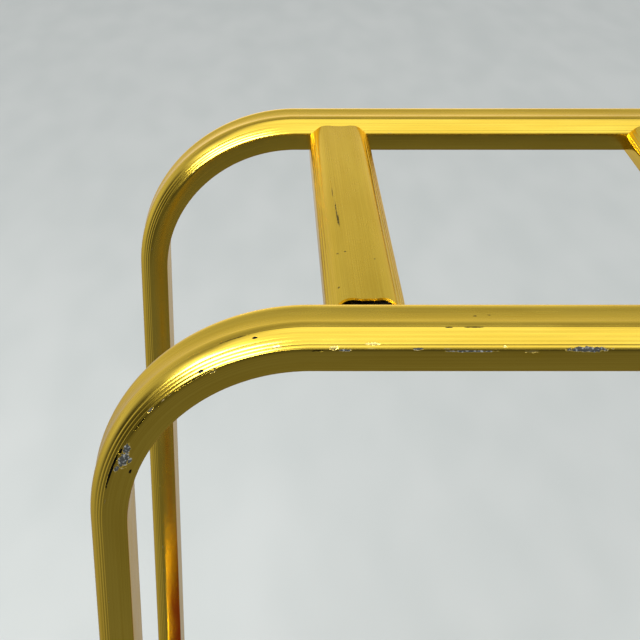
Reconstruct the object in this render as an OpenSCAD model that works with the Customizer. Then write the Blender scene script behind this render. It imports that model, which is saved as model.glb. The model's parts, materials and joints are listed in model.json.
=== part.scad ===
// Hotel luggage cart: two hoops of D-section aluminium tube stand on a carpeted deck and are
// tied across the top by slats of the same tube; two swivel casters with brakes, two fixed ones.
// +X is the way it travels, +Y its left side, +Z up; the origin is on the floor under its centre.

/* [Frame] */
// Width of the D-section tube, side to side
profile_w = 50; // [40:1:60]
// Thickness of the hoop tube, flat face to crown
profile_t = 24.5; // [20:0.5:30]
// Wall of the tubes
tube_wall = 1.5; // [1:0.1:2.5]
// Width of the flat band along the crown
crown_w = 28; // [20:1:34]
// Height of the round shoulder between side wall and crown
shoulder_h = 10.2; // [6:0.2:12]
// Radius of the hoop's corners at the tube's flat inner face
bend_r = 112; // [80:1:150]
// Distance between the middles of the two hoops
hoop_gap = 384; // [320:1:460]
// Height of the hoops' crown over the floor
top_z = 960; // [800:10:1150]

/* [Slats] */
// Number of slats across the top
slat_count = 4; // [2:1:5]
// Distance from slat to slat
slat_pitch = 266; // [200:1:320]
// Middle of the end slat to the inner face of the legs
slat_inset = 148; // [140:1:200]
// How far the slats' crown lies under the hoops' crown
slat_drop = 3; // [1:0.5:5]
// Length of the spigot inside each slat end
spigot_l = 40; // [25:1:60]

/* [Deck] */
// Board that shows past the hoops' legs, end to end
deck_over_x = 28.5; // [20:0.5:60]
// Board that shows past the hoops, side to side
deck_over_y = 33; // [24:1:60]
// Thickness of the plywood board
board_t = 18; // [12:1:25]
// Thickness of the carpet
carpet_t = 6; // [3:0.5:10]
// Corner radius of the board
deck_r = 40; // [30:1:60]
// How far the rubber bumper stands proud of the trim
bumper_t = 14; // [8:1:20]
// Height of the rubber bumper
bumper_h = 22; // [16:1:24]

/* [Underframe] */
// Height of the steel rails
rail_h = 30; // [25:1:40]
// Wall of the steel rails
rail_wall = 2; // [1.5:0.5:3]
// Width of the cross rails
cross_w = 30; // [25:1:34]

/* [Casters] */
// Wheel diameter over the tyre
wheel_d = 150; // [125:1:160]
// Width of the tyre
tyre_w = 32; // [26:1:36]
// Floor to the top of the caster plate
caster_h = 190; // [186:1:220]
// Caster middles to the middle of the cart, along the cart
caster_x = 470; // [400:1:480]
// Caster middles to the middle of the cart, across the cart
caster_y = 150; // [140:1:155]
// How far the swivel wheel trails behind its kingpin
trail = 38; // [30:1:45]
// Radius of the wheel axles
axle_r = 6; // [5:0.5:8]

/* [Hidden] */
$fn = 96;
fit = 0.05;       // running clearance on a radius
slip = 0.3;       // clearance round a part that slips through another
eps = 0.01;       // overshoot of a cutting tool

side_h = profile_t - shoulder_h;
slat_t = profile_t - slat_drop;
rail_z = caster_h;
board_z = rail_z + rail_h;
carpet_z = board_z + board_t;
deck_z = carpet_z + carpet_t;
inner_z = top_z - profile_t;
inner_x = slat_inset + (slat_count - 1) * slat_pitch / 2;
hoop_y = hoop_gap / 2;
slat_l = hoop_gap - profile_w;
deck_x = inner_x + profile_t + deck_over_x;
deck_y = hoop_y + profile_w / 2 + deck_over_y;

trim_t = 2;
trim_lip = 12;
trim_h = board_t + 2 * trim_t;
bumper_z = board_z + (board_t - bumper_h) / 2;
carpet_gap = 1;                       // carpet to the trim's lip and to the collars

collar_side = 13;                     // collar past the leg on either side
collar_in = 12;                       // past its inner face
collar_out = 12;                      // past its crown
collar_r = 5;
collar_t = 8;
collar_screw_r = 1.6;
collar_screw_head_r = 3.4;
collar_screw_head = 2.4;
collar_screw_y = 7;                   // screws to the leg's side

stub_w = 40;
stub_t = 14;
stub_h = 90;
stub_gap = (profile_t - stub_t) / 2 - 1;   // stub to the tube's inner face
leg_bolt_r = 4;
leg_bolt_head_r = 7;
leg_bolt_head_h = 4;
leg_bolt_socket = 2.2;
leg_bolt_key_r = 2.9;
leg_bolt_z = deck_z + 36;

deck_screw_r = 2.5;
deck_screw_head = 3;
deck_screw_head_r = 5.5;
deck_screw_grip = 12;                 // how deep it reaches below the board
deck_screw_pitch = 200;
deck_screw_end = 200;                 // least distance from a leg

spigot_w = 42;
spigot_h = 10;
spigot_z = inner_z + tube_wall + 1;
rivet_r = 2.4;
rivet_x = 12;
rivet_l = 14;
slat_screw_r = 2;
slat_screw_y = 22;

plate_x = 110;
plate_y = 90;
plate_t = 4;
plate_hole_x = 40;
plate_hole_y = 30;
plate_bolt_r = 4;
plate_bolt_l = 14;
plate_bolt_head_r = 7;
plate_bolt_head_h = 5;
nut_r = 6;
nut_h = 8;
cross_x = [for (end = [-1, 1]) for (side = [-1, 1]) end * caster_x + side * plate_hole_x];
plate_z = caster_h - plate_t;

race_r = 34;
race_h = 5;
ball_r = 3;
ball_play = 0.15;
ball_ring_r = 27;
ball_count = 16;
race_gap = 2;
kingpin_r = 6;
kingpin_head_r = 11;
kingpin_head_h = 5;
fork_top_z = plate_z - race_h - race_gap;
fork_disc_h = 6;
fork_bridge_h = 6;
bridge_z = fork_top_z - fork_disc_h - fork_bridge_h;
fork_half_x = 32;

wheel_r = wheel_d / 2;
axle_z = wheel_r;
tyre_depth = 20;
rim_r = wheel_r - tyre_depth;
rim_t = 5;
boss_r = 18;
bush_r = 10;
boss_l = tyre_w + 8;
fork_gap = boss_l + 2;
fork_t = 4;
fork_end_r = 16;
axle_head_r = 10;
axle_head_h = 7;

brake_r = wheel_r + 11;               // brake pivot to the axle
brake_a = 120;                        // its bearing from the axle, from the front
brake_lobe_r = 9;
brake_pin_r = 4;
pad_gap = 5.5;
pad_t = 6;
shoe_t = 4;
brake_x = brake_r * cos(brake_a);
brake_z = brake_r * sin(brake_a);
pedal_w = fork_gap - 3;
tread_w = 56;

gold = "goldenrod";
steel = "silver";
rubber = "dimgray";

slat_names = [for (i = [1 : slat_count]) str("slat_", i)];
caster_parts = ["swivel_plate", "swivel_balls", "kingpin", "swivel_fork", "fixed_fork",
    "brake_pedal", "brake_pad", "brake_pin"];
wheel_parts = ["axle", "hub", "bush", "tyre"];
side_names = ["left", "right"];
end_names = ["rear", "front"];

// ---- the D-section tube ----

// Height of the centre of the circle that both shoulders lie on, for a tube of thickness t
function dome_z(t) = let (s = t - shoulder_h)
    (pow(profile_w / 2, 2) - pow(crown_w / 2, 2) + s * s - t * t) / (2 * (s - t));
function dome_r(t) = norm([crown_w / 2, t - dome_z(t)]);

// Section with its flat face on y = 0 and its crown at y = t, grown all round by g
module d_section(t, g = 0) {
    intersection() {
        translate([-profile_w / 2 - g, -g]) square([profile_w + 2 * g, t + 2 * g]);
        translate([0, dome_z(t)]) circle(r = dome_r(t) + g);
    }
}

module d_tube_section(t) {
    difference() {
        d_section(t);
        d_section(t, -tube_wall);
    }
}

// ---- hoops ----

module hoop_leg() {
    leg_h = inner_z - bend_r - board_z;
    translate([inner_x, 0, board_z]) rotate([0, 0, -90]) linear_extrude(leg_h)
        d_tube_section(profile_t);
}

module hoop_corner() {
    translate([inner_x - bend_r, 0, inner_z - bend_r]) rotate([90, 0, 0])
        rotate_extrude(angle = 90) translate([bend_r, 0]) rotate(-90) d_tube_section(profile_t);
}

module hoop_top() {
    half = inner_x - bend_r;
    translate([-half, 0, inner_z]) rotate([90, 0, 90]) linear_extrude(2 * half)
        d_tube_section(profile_t);
}

// side is -1 for the right hoop and 1 for the left one; its slats are on the other side
module hoop(side) {
    color(gold) difference() {
        translate([0, side * hoop_y, 0]) {
            hoop_top();
            for (end = [0, 1]) mirror([end, 0, 0]) {
                hoop_leg();
                hoop_corner();
            }
        }
        for (end = [-1, 1]) leg_bolt_bore(end, side);
        for (x = slat_places()) for (r = [-1, 1])
            translate([x + r * rivet_x, side * (slat_l / 2 - eps), rivet_z()])
                rotate([-side * 90, 0, 0]) cylinder(h = tube_wall + 2 * eps, r = rivet_r + fit);
    }
}

module leg_bolt_bore(end, side) {
    translate([end * (inner_x - eps), side * hoop_y, leg_bolt_z]) rotate([0, end * 90, 0])
        cylinder(h = tube_wall + 2 * eps, r = leg_bolt_r + fit);
}

// ---- slats and their fixings ----

function slat_places() = [for (i = [0 : slat_count - 1]) (i - (slat_count - 1) / 2) * slat_pitch];
function rivet_z() = spigot_z + spigot_h / 2;

module slat(i) {
    color(gold) translate([slat_places()[i - 1], 0, inner_z]) difference() {
        translate([0, slat_l / 2, 0]) rotate([90, 0, 0]) linear_extrude(slat_l)
            d_tube_section(slat_t);
        for (side = [-1, 1]) translate([0, side * (slat_l / 2 - slat_screw_y), -eps])
            cylinder(h = tube_wall + 2 * eps, r = slat_screw_r + fit);
    }
}

module at_slat_ends() {
    for (x = slat_places()) for (side = [-1, 1]) translate([x, side * slat_l / 2, 0])
        rotate([0, 0, side > 0 ? 0 : 180]) children();
}

module slat_spigots() {
    color(steel) at_slat_ends() difference() {
        translate([-spigot_w / 2, -spigot_l, spigot_z]) cube([spigot_w, spigot_l, spigot_h]);
        for (r = [-1, 1]) translate([r * rivet_x, eps, rivet_z()]) rotate([90, 0, 0])
            cylinder(h = rivet_l + 1, r = rivet_r + fit);
        translate([0, -slat_screw_y, spigot_z - eps])
            cylinder(h = spigot_h - 1, r = slat_screw_r + fit);
    }
}

module spigot_rivets() {
    color(steel) at_slat_ends() for (r = [-1, 1])
        translate([r * rivet_x, tube_wall + slip, rivet_z()]) {
            rotate([90, 0, 0]) cylinder(h = rivet_l + tube_wall, r = rivet_r);
            rotate([-90, 0, 0]) cylinder(h = 2, r1 = rivet_r * 2, r2 = rivet_r * 1.4);
        }
}

module slat_screws() {
    color(steel) at_slat_ends() translate([0, -slat_screw_y, 0]) {
        translate([0, 0, inner_z - 2.2]) cylinder(h = 2.2, r1 = 2.6, r2 = 3.8);
        translate([0, 0, inner_z - eps]) cylinder(h = spigot_h, r = slat_screw_r);
    }
}

// ---- underframe ----

module rail_section(w) {
    difference() {
        translate([-w / 2, 0]) square([w, rail_h]);
        translate([-w / 2 + rail_wall, rail_wall]) square([w - 2 * rail_wall, rail_h - 2 * rail_wall]);
    }
}

module plate_bolt_bores() {
    at_casters() at_plate_holes() translate([0, 0, rail_z - eps])
        cylinder(h = rail_wall + 2 * eps, r = plate_bolt_r + fit);
}

module side_rails() {
    rail_l = 2 * (inner_x + profile_t + 6);
    color(steel) difference() {
        for (side = [-1, 1]) translate([-rail_l / 2, side * hoop_y, rail_z])
            rotate([90, 0, 90]) linear_extrude(rail_l) rail_section(profile_w);
        plate_bolt_bores();
        deck_screw_bores();
    }
}

module cross_rails() {
    color(steel) difference() {
        for (x = concat(cross_x, [0])) translate([x, slat_l / 2, rail_z])
            rotate([90, 0, 0]) linear_extrude(slat_l) rail_section(cross_w);
        plate_bolt_bores();
    }
}

module at_legs() {
    for (end = [0, 1]) mirror([end, 0, 0]) for (side = [-1, 1])
        translate([inner_x, side * hoop_y, 0]) children();
}

module leg_stubs() {
    color(steel) at_legs() difference() {
        translate([stub_gap, -stub_w / 2, board_z]) cube([stub_t, stub_w, stub_h]);
        translate([0, 0, leg_bolt_z]) rotate([0, 90, 0])
            cylinder(h = profile_t, r = leg_bolt_r + fit);
    }
}

// Radius of the ball that a button head of radius r and height h is cut from
function button_r(r, h) = (r * r + h * h) / (2 * h);

module leg_bolts() {
    color(steel) at_legs() translate([0, 0, leg_bolt_z]) rotate([0, 90, 0]) {
        translate([0, 0, -leg_bolt_head_h]) difference() {
            intersection() {
                cylinder(h = leg_bolt_head_h, r = leg_bolt_head_r);
                translate([0, 0, button_r(leg_bolt_head_r, leg_bolt_head_h)])
                    sphere(r = button_r(leg_bolt_head_r, leg_bolt_head_h));
            }
            translate([0, 0, -eps]) cylinder(h = leg_bolt_socket, r = leg_bolt_key_r, $fn = 6);
        }
        translate([0, 0, -eps]) cylinder(h = stub_gap + stub_t, r = leg_bolt_r);
    }
}

// ---- deck ----

// Outline of the board, grown by g
module deck_outline(g = 0) {
    x = deck_x + g;
    y = deck_y + g;
    r = deck_r + g;
    square([2 * x - 2 * r, 2 * y], center = true);
    square([2 * x, 2 * y - 2 * r], center = true);
    for (i = [-1, 1]) for (j = [-1, 1]) translate([i * (x - r), j * (y - r)]) circle(r = r);
}

module leg_openings() {
    for (end = [0, 1]) mirror([end, 0]) for (side = [-1, 1])
        translate([inner_x, side * hoop_y]) rotate(-90) d_section(profile_t, slip);
}

// Places of the screws along a rail: as many as fit between the legs
deck_screw_n = floor(2 * (inner_x - deck_screw_end) / deck_screw_pitch);
deck_screw_x = [for (i = [0 : deck_screw_n]) (i - deck_screw_n / 2) * deck_screw_pitch];

module deck_screw_bores() {
    at_deck_screws() translate([0, 0, board_z - rail_wall - eps])
        cylinder(h = rail_wall + 2 * eps, r = deck_screw_r + fit);
}

module at_deck_screws() {
    for (x = deck_screw_x) for (side = [-1, 1]) translate([x, side * hoop_y, 0]) children();
}

module deck_board() {
    color("burlywood") difference() {
        translate([0, 0, board_z]) linear_extrude(board_t) difference() {
            deck_outline();
            leg_openings();
        }
        at_deck_screws() {
            translate([0, 0, board_z - eps]) cylinder(h = board_t + 2 * eps, r = deck_screw_r + fit);
            translate([0, 0, carpet_z - deck_screw_head])
                cylinder(h = deck_screw_head + eps, r1 = deck_screw_r + fit, r2 = deck_screw_head_r + fit);
        }
    }
}

module deck_screws() {
    color(steel) at_deck_screws() {
        translate([0, 0, board_z - deck_screw_grip])
            cylinder(h = deck_screw_grip + board_t - deck_screw_head + eps, r = deck_screw_r);
        translate([0, 0, carpet_z - deck_screw_head])
            cylinder(h = deck_screw_head, r1 = deck_screw_r, r2 = deck_screw_head_r);
    }
}

// The carpet lies inside the trim and stops short of the four collars
module deck_carpet() {
    long_x = deck_x - trim_lip - carpet_gap;
    long_y = deck_y - trim_lip - carpet_gap;
    short_x = inner_x - collar_in - carpet_gap;
    short_y = hoop_y - profile_w / 2 - collar_side - carpet_gap;
    color("firebrick") translate([0, 0, carpet_z]) linear_extrude(carpet_t) {
        square([2 * long_x, 2 * short_y], center = true);
        square([2 * short_x, 2 * long_y], center = true);
    }
}

module deck_trim() {
    color(gold) {
        translate([0, 0, board_z - trim_t]) linear_extrude(trim_h) difference() {
            deck_outline(trim_t);
            deck_outline(0);
        }
        translate([0, 0, carpet_z]) linear_extrude(trim_t) difference() {
            deck_outline(trim_t);
            deck_outline(-trim_lip);
        }
    }
}

module bumper_section() {
    intersection() {
        square([bumper_t, bumper_h]);
        translate([bumper_t - bumper_h * 0.7, bumper_h / 2]) circle(r = bumper_h * 0.7);
    }
}

module deck_bumper() {
    x = deck_x + trim_t;
    y = deck_y + trim_t;
    r = deck_r + trim_t;
    color(rubber) translate([0, 0, bumper_z]) {
        for (end = [0, 1]) mirror([end, 0, 0]) {
            translate([x, y - r, 0]) rotate([90, 0, 0]) linear_extrude(2 * y - 2 * r) bumper_section();
            for (side = [0, 1]) mirror([0, side, 0]) translate([x - r, y - r, 0])
                rotate_extrude(angle = 90) translate([r, 0]) bumper_section();
        }
        for (side = [0, 1]) mirror([0, side, 0]) translate([-(x - r), y, 0])
            rotate([90, 0, 90]) linear_extrude(2 * x - 2 * r) bumper_section();
    }
}

// Rectangle of x0..x1 by y0..y1 with corners of radius r
module rounded(x0, x1, y0, y1, r) {
    translate([x0 + r, y0]) square([x1 - x0 - 2 * r, y1 - y0]);
    translate([x0, y0 + r]) square([x1 - x0, y1 - y0 - 2 * r]);
    for (x = [x0 + r, x1 - r]) for (y = [y0 + r, y1 - r]) translate([x, y]) circle(r = r);
}

module collar_outline() {
    half = profile_w / 2 + collar_side;
    rounded(-half, half, -collar_in, profile_t + collar_out, collar_r);
}

module leg_collars() {
    color(gold) difference() {
        at_legs() rotate([0, 0, -90]) translate([0, 0, carpet_z]) linear_extrude(collar_t) difference() {
            collar_outline();
            d_section(profile_t, slip);
        }
        at_collar_screws() collar_screw(fit);
    }
}

module at_collar_screws() {
    at_legs() for (k = [-1, 1])
        translate([profile_t / 2, k * (profile_w / 2 + collar_screw_y), carpet_z + collar_t]) children();
}

// Countersunk screw with its face at z = 0, grown by g
module collar_screw(g = 0) {
    translate([0, 0, -collar_screw_head - g])
        cylinder(h = collar_screw_head + 2 * g, r1 = collar_screw_r + g, r2 = collar_screw_head_r + g);
    translate([0, 0, -collar_t - g]) cylinder(h = collar_t, r = collar_screw_r + g);
}

module collar_screws() {
    color(gold) at_collar_screws() collar_screw();
}

// ---- casters ----

module at_casters() {
    for (end = [-1, 1]) for (side = [-1, 1])
        translate([end * caster_x, side * caster_y, 0]) children();
}

module at_plate_holes() {
    for (i = [-1, 1]) for (j = [-1, 1])
        translate([i * plate_hole_x, j * plate_hole_y, 0]) children();
}

// side is 1 for left and -1 for right
module at_swivel(side) {
    translate([-caster_x, side * caster_y, 0]) children();
}

module at_fixed(side) {
    translate([caster_x, side * caster_y, 0]) children();
}

module at_wheel(end, side) {
    translate([end * caster_x - (end < 0 ? trail : 0), side * caster_y, axle_z]) rotate([90, 0, 0])
        children();
}

module caster_plate() {
    difference() {
        translate([-plate_x / 2, -plate_y / 2, plate_z]) cube([plate_x, plate_y, plate_t]);
        at_plate_holes() translate([0, 0, plate_z - eps])
            cylinder(h = plate_t + 2 * eps, r = plate_bolt_r + fit);
    }
}

module caster_bolts() {
    color(steel) at_casters() at_plate_holes() {
        translate([0, 0, plate_z - plate_bolt_head_h])
            cylinder(h = plate_bolt_head_h, r = plate_bolt_head_r, $fn = 6);
        translate([0, 0, plate_z - eps]) cylinder(h = plate_bolt_l, r = plate_bolt_r);
    }
}

// Rivet nuts inside the rails, which the caster bolts screw into
module caster_nuts() {
    color(steel) at_casters() at_plate_holes() translate([0, 0, rail_z + rail_wall]) difference() {
        cylinder(h = nut_h, r = nut_r);
        translate([0, 0, -eps]) cylinder(h = nut_h + 2 * eps, r = plate_bolt_r + fit);
    }
}

module ball_groove(z) {
    translate([0, 0, z]) rotate_extrude() translate([ball_ring_r, 0]) circle(r = ball_r + ball_play);
}

module swivel_plate(side) {
    color(steel) at_swivel(side) difference() {
        union() {
            caster_plate();
            translate([0, 0, plate_z - race_h]) cylinder(h = race_h, r = race_r);
        }
        translate([0, 0, plate_z - race_h - eps])
            cylinder(h = race_h + plate_t + 2 * eps, r = kingpin_r + fit);
        ball_groove(ball_z());
    }
}

function ball_z() = plate_z - race_h - race_gap / 2;

module swivel_balls(side) {
    color(steel) at_swivel(side) for (i = [0 : ball_count - 1]) rotate([0, 0, i * 360 / ball_count])
        translate([ball_ring_r, 0, ball_z()]) sphere(r = ball_r);
}

module kingpin(side) {
    color(steel) at_swivel(side) {
        translate([0, 0, bridge_z - 7]) cylinder(h = 7 - slip, r = kingpin_head_r, $fn = 6);
        translate([0, 0, bridge_z - slip - eps])
            cylinder(h = caster_h - bridge_z + slip + 2 * eps, r = kingpin_r);
        translate([0, 0, caster_h]) cylinder(h = kingpin_head_h, r1 = kingpin_head_r, r2 = 8);
    }
}

// Points where lines from p touch the circle of radius r round c, on one side
function touch(p, c, r, side) = let (d = p - c, a = atan2(d[1], d[0]) + side * acos(r / norm(d)))
    c + r * [cos(a), sin(a)];

// Leg of a fork in the XZ plane: from a top edge at top_y down to a round end at c
module fork_leg_outline(top_y, c) {
    left = [-fork_half_x, top_y];
    right = [fork_half_x, top_y];
    polygon([left, right, touch(right, c, fork_end_r, -1), c, touch(left, c, fork_end_r, 1)]);
    translate(c) circle(r = fork_end_r);
}

// Lobe that carries the brake pin
module brake_lobe_outline(top_y) {
    pin = [-trail + brake_x, axle_z + brake_z];
    top = [-fork_half_x + 14, top_y];
    low = [-fork_half_x + 10, top_y - 40];
    polygon([top, touch(top, pin, brake_lobe_r, 1), pin, touch(low, pin, brake_lobe_r, -1), low]);
    translate(pin) circle(r = brake_lobe_r);
}

module fork_legs(top_y, c) {
    for (side = [-1, 1]) translate([0, side * (fork_gap + fork_t) / 2 + fork_t / 2, 0])
        rotate([90, 0, 0]) linear_extrude(fork_t) {
            fork_leg_outline(top_y, c);
            children();
        }
}

module cross_bore(x, z, r) {
    translate([x, fork_gap, z]) rotate([90, 0, 0]) cylinder(h = 2 * fork_gap, r = r + fit);
}

module swivel_fork(side) {
    color(steel) at_swivel(side) difference() {
        union() {
            translate([0, 0, fork_top_z - fork_disc_h]) cylinder(h = fork_disc_h, r = race_r);
            translate([-fork_half_x, -fork_gap / 2 - fork_t, bridge_z])
                cube([2 * fork_half_x, fork_gap + 2 * fork_t, fork_bridge_h]);
            fork_legs(bridge_z + fork_bridge_h / 2, [-trail, axle_z])
                brake_lobe_outline(bridge_z);
        }
        translate([0, 0, bridge_z - eps])
            cylinder(h = fork_top_z - bridge_z + 2 * eps, r = kingpin_r + 2 * fit);
        ball_groove(ball_z());
        cross_bore(-trail, axle_z, axle_r);
        cross_bore(-trail + brake_x, axle_z + brake_z, brake_pin_r);
    }
}

module fixed_fork(side) {
    color(steel) at_fixed(side) difference() {
        union() {
            caster_plate();
            fork_legs(plate_z + plate_t / 2, [0, axle_z]);
        }
        cross_bore(0, axle_z, axle_r);
    }
}

module axle(end, side) {
    half = fork_gap / 2 + fork_t;
    color(steel) at_wheel(end, side) {
        translate([0, 0, -half - slip]) cylinder(h = 2 * half + 2 * slip + 10, r = axle_r);
        translate([0, 0, -half - slip - axle_head_h])
            cylinder(h = axle_head_h + eps, r = axle_head_r, $fn = 6);
        translate([0, 0, half + slip]) cylinder(h = axle_head_h, r = axle_head_r, $fn = 6);
    }
}

module hub(end, side) {
    color("white") at_wheel(end, side) difference() {
        rotate_extrude() {
            translate([rim_r - rim_t, -tyre_w / 2 + 1]) square([rim_t, tyre_w - 2]);
            translate([boss_r - eps, -4]) square([rim_r - rim_t - boss_r + 2 * eps, 8]);
            translate([bush_r, -boss_l / 2 + 1]) square([boss_r - bush_r, boss_l - 2]);
        }
        for (i = [0 : 4]) rotate([0, 0, i * 72]) translate([(boss_r + rim_r - rim_t) / 2, 0, -4 - eps])
            cylinder(h = 8 + 2 * eps, r = 8);
    }
}

module bush(end, side) {
    color(steel) at_wheel(end, side) difference() {
        cylinder(h = boss_l, r = bush_r - eps, center = true);
        cylinder(h = boss_l + 2 * eps, r = axle_r + fit, center = true);
    }
}

module tyre(end, side) {
    crown_r = 30;
    color(rubber) at_wheel(end, side) rotate_extrude() intersection() {
        translate([rim_r + eps, -tyre_w / 2]) square([tyre_depth, tyre_w]);
        translate([wheel_r - crown_r, 0]) circle(r = crown_r);
    }
}

// ---- brakes, drawn round the wheel's axle ----

module at_brake(side) {
    translate([-caster_x - trail, side * caster_y, axle_z]) rotate([90, 0, 0]) children();
}

// Stretch of a ring from radius r by t, from angle a to angle b
module ring_sector(r, t, a, b) {
    far = 2 * (r + t);
    difference() {
        intersection() {
            circle(r = r + t);
            polygon([[0, 0], far * [cos(a), sin(a)], far * [cos((a + b) / 2), sin((a + b) / 2)],
                far * [cos(b), sin(b)]]);
        }
        circle(r = r);
    }
}

module brake_pedal(side) {
    shoe_r = wheel_r + pad_gap + pad_t;
    color("black") at_brake(side) difference() {
        union() {
            translate([0, 0, -pedal_w / 2]) linear_extrude(pedal_w) {
                translate([brake_x, brake_z]) circle(r = brake_lobe_r - 1);
                ring_sector(shoe_r, shoe_t, brake_a, brake_a + 28);
                translate([brake_x - 46, brake_z]) square([46, 5]);
            }
            translate([brake_x - 54, brake_z, -tread_w / 2]) cube([34, 5, tread_w]);
        }
        translate([brake_x, brake_z, -pedal_w]) cylinder(h = 2 * pedal_w, r = brake_pin_r + fit);
    }
}

module brake_pad(side) {
    color(rubber) at_brake(side) translate([0, 0, -tyre_w / 2 + 2]) linear_extrude(tyre_w - 4)
        ring_sector(wheel_r + pad_gap, pad_t - eps, brake_a + 9, brake_a + 26);
}

module brake_pin(side) {
    half = fork_gap / 2 + fork_t;
    color(steel) at_brake(side) translate([brake_x, brake_z, 0]) {
        cylinder(h = 2 * half + 2 * slip, r = brake_pin_r, center = true);
        for (i = [0, 1]) mirror([0, 0, i]) translate([0, 0, half + slip - eps])
            cylinder(h = 2, r1 = brake_pin_r + 2, r2 = brake_pin_r);
    }
}

// ---- nodes ----

hoop(-1);  // hoop_right
hoop(1);  // hoop_left
for (i = [1 : slat_count]) slat(i);
slat_spigots();
spigot_rivets();
slat_screws();
side_rails();
cross_rails();
leg_stubs();
leg_bolts();
deck_board();
deck_screws();
deck_carpet();
deck_trim();
deck_bumper();
leg_collars();
collar_screws();
caster_bolts();
caster_nuts();
for (side = [-1, 1]) {
    name = side > 0 ? "left" : "right";
    swivel_plate(side);
    swivel_balls(side);
    kingpin(side);
    swivel_fork(side);
    fixed_fork(side);
    brake_pedal(side);
    brake_pad(side);
    brake_pin(side);
    for (end = [-1, 1]) {
        place = str(end > 0 ? "front_" : "rear_", name);
        axle(end, side);
        hub(end, side);
        bush(end, side);
        tyre(end, side);
    }
}
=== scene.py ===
"""Looks of a hotel luggage cart.

Two hoops of gold anodised D-section tube stand on a carpeted deck and are tied across the top by
slats of the same tube. The deck rides on two swivel casters with brakes and two fixed casters.
Lengths are in metres, +X is the way the cart travels, +Y its left side and +Z is up.
"""

import json
import logging
from dataclasses import dataclass, field
from enum import Enum

import bmesh
import bpy
import numpy as np
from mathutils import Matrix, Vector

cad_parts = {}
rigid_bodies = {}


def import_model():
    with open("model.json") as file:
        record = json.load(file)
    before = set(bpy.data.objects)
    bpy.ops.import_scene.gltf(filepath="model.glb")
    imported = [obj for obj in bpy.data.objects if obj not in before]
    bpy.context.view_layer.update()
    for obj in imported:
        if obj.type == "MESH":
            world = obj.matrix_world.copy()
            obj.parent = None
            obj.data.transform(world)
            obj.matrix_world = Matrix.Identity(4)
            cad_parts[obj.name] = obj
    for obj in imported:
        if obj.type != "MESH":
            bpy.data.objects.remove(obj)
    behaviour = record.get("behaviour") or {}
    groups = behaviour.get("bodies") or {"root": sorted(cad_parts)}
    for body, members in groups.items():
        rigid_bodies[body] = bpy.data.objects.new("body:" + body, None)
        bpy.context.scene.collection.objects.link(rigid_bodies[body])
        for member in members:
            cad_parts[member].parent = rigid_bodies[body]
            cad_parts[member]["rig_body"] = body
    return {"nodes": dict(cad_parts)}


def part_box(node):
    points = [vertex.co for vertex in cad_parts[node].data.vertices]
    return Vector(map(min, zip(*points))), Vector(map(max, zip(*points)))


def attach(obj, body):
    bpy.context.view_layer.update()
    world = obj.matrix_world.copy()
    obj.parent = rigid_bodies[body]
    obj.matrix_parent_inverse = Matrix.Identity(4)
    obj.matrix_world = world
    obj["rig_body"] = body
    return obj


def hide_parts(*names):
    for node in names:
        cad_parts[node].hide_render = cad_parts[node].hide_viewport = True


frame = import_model()

LOG = logging.getLogger("luggage_cart")
MM = 0.001
RUN_MAP = "run"
Array = np.ndarray
Node = bpy.types.Node
Object = bpy.types.Object
Material = bpy.types.Material


class Side(Enum):
    """The cart's two sides, as the node names say them."""

    LEFT = "left"
    RIGHT = "right"


class End(Enum):
    """The cart's two ends, as the node names say them."""

    REAR = "rear"
    FRONT = "front"


class Pattern(Enum):
    """What a finish's pattern follows: the piece's own run of material, or the space it is in."""

    RUN = "run"
    SPACE = "space"


# ---------------------------------------------------------------------------------------------
# Materials
# ---------------------------------------------------------------------------------------------


def linear(colour: str) -> tuple[float, float, float, float]:
    """Turns an sRGB hex colour into linear light.

    Args:
        colour: Colour as "#RRGGBB".

    Returns:
        Linear red, green and blue, and an alpha of 1.
    """
    code = np.array([int(colour[i:i + 2], 16) for i in (1, 3, 5)]) / 255.0
    light = np.where(code <= 0.04045, code / 12.92, ((code + 0.055) / 1.055) ** 2.4)
    return (*light.tolist(), 1.0)


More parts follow.
